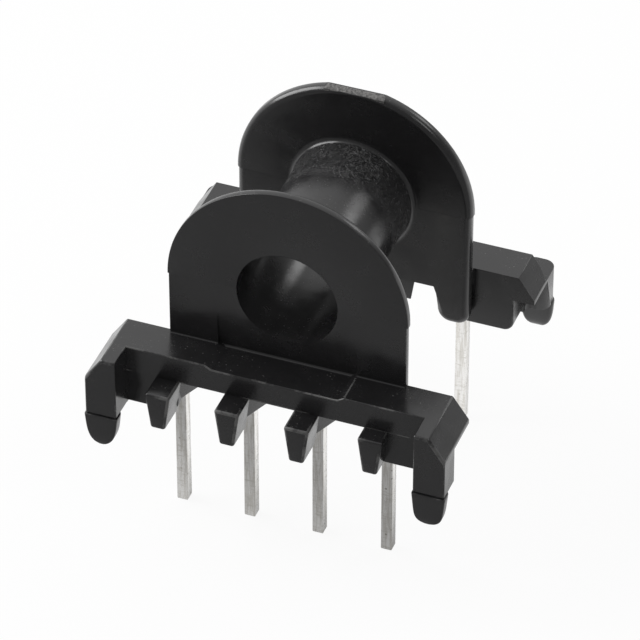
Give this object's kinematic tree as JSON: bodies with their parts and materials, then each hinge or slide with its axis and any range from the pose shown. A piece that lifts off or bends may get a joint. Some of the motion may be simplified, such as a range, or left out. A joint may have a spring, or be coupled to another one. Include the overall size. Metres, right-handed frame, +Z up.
{
  "type": "transformer bobbin",
  "caption": "Moulded bobbin for a small transformer: a round winding tube between two D-shaped flanges, on toothed rails that carry square pins for a circuit board.",
  "frame": {"origin": "midway between the two pin rows and the two legs of each row, at the level of the pin tips", "axes": "+Z up along the pins, +Y along the bore towards the flange with the broken-off gate, +X along the pin rows towards the short tooth"},
  "size_m": [0.013, 0.0118, 0.0138],
  "materials": {
    "moulding": "black moulded plastic with a satin surface",
    "pin": "bright tin plate on drawn square wire"
  },
  "bodies": {
    "root": {"bobbin": "moulding", "pin_1": "pin", "pin_2": "pin", "pin_3": "pin", "pin_4": "pin", "pin_5": "pin", "pin_6": "pin", "pin_7": "pin", "pin_8": "pin"}
  },
  "joints": []
}
